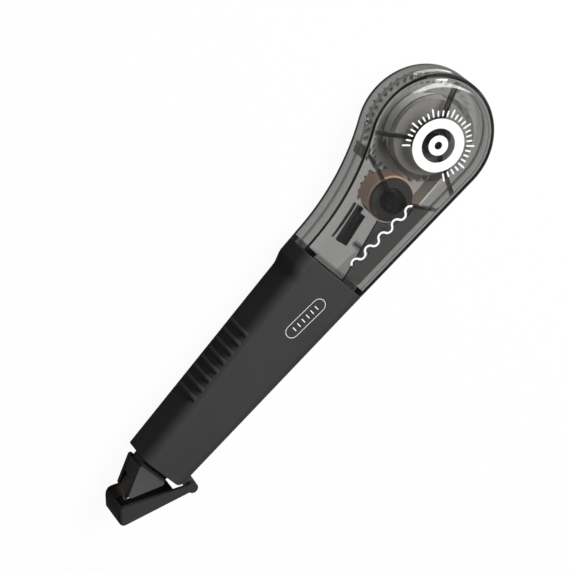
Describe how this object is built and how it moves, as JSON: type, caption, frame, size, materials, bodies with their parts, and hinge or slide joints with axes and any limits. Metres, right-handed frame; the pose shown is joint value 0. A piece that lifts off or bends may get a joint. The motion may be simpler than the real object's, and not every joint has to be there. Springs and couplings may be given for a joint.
{
  "type": "correction tape pen",
  "caption": "Pen-shaped correction tape dispenser with a smoke-clear round head over geared tape reels, a black ribbed grip and a hinged tip cap.",
  "frame": {"origin": "centre of the pen's outline on its back face, where it lies on a table", "axes": "+X from the tip towards the round head, +Y towards the ribbed side, +Z out of the front face"},
  "size_m": [0.1378, 0.033, 0.0134],
  "materials": {
    "smoke": "smoke-clear, polished",
    "grip_black": "fine matt texture",
    "inner_black": "plain moulded",
    "grey_plastic": "plain moulded",
    "clear_plastic": "clear, polished",
    "white_tape": "dry coated paper-like film",
    "bare_film": "thin translucent film",
    "rubber": "soft",
    "steel": "drawn pin"
  },
  "bodies": {
    "pen_body": {"front_shell": "smoke", "rear_shell": "smoke", "grip_sleeve": "grip_black", "tip_carrier": "inner_black", "tip_blade": "inner_black", "cap_hinge_pin": "steel", "tape_run_out": "white_tape", "film_run_back": "bare_film", "lower_guide_pin": "steel", "upper_guide_pin": "steel", "reverse_stop_pawl": "inner_black"},
    "cap": {"tip_cap": "grip_black"},
    "supply_wheel": {"supply_gear": "grey_plastic"},
    "tape_spool": {"supply_core": "grey_plastic", "clutch_ring": "rubber", "tape_roll": "white_tape", "supply_flange": "smoke"},
    "take_up_wheel": {"take_up_gear": "inner_black", "take_up_core": "inner_black", "used_film_roll": "bare_film"},
    "lower_roller": {"lower_guide_roller": "clear_plastic"},
    "upper_roller": {"upper_guide_roller": "clear_plastic"}
  },
  "joints": [
    {"name": "cap_hinge", "type": "hinge", "parent": "pen_body", "child": "cap", "pos_m": [-0.05128, -0.01151, 0.0067], "axis": [0, 0, 1], "range_deg": [0, 150]},
    {"name": "supply_spin", "type": "hinge", "parent": "pen_body", "child": "supply_wheel", "pos_m": [0.05232, 0, 0.0067], "axis": [0, 0, 1], "continuous": true},
    {"name": "spool_slip", "type": "hinge", "parent": "supply_wheel", "child": "tape_spool", "pos_m": [0.05232, 0, 0.0067], "axis": [0, 0, 1], "continuous": true},
    {"name": "take_up_spin", "type": "hinge", "parent": "pen_body", "child": "take_up_wheel", "pos_m": [0.03454, -0.00281, 0.0067], "axis": [0, 0, 1], "continuous": true},
    {"name": "lower_roller_spin", "type": "hinge", "parent": "pen_body", "child": "lower_roller", "pos_m": [0.00941, -0.0088, 0.0067], "axis": [0, 0, 1], "continuous": true},
    {"name": "upper_roller_spin", "type": "hinge", "parent": "pen_body", "child": "upper_roller", "pos_m": [0.02041, -0.0068, 0.0067], "axis": [0, 0, 1], "continuous": true}
  ],
  "couplings": [
    {"joint": "take_up_spin", "follows": "supply_spin", "ratio": -2.75},
    {"joint": "lower_roller_spin", "follows": "supply_spin", "ratio": 9.8},
    {"joint": "upper_roller_spin", "follows": "supply_spin", "ratio": -9.8}
  ]
}
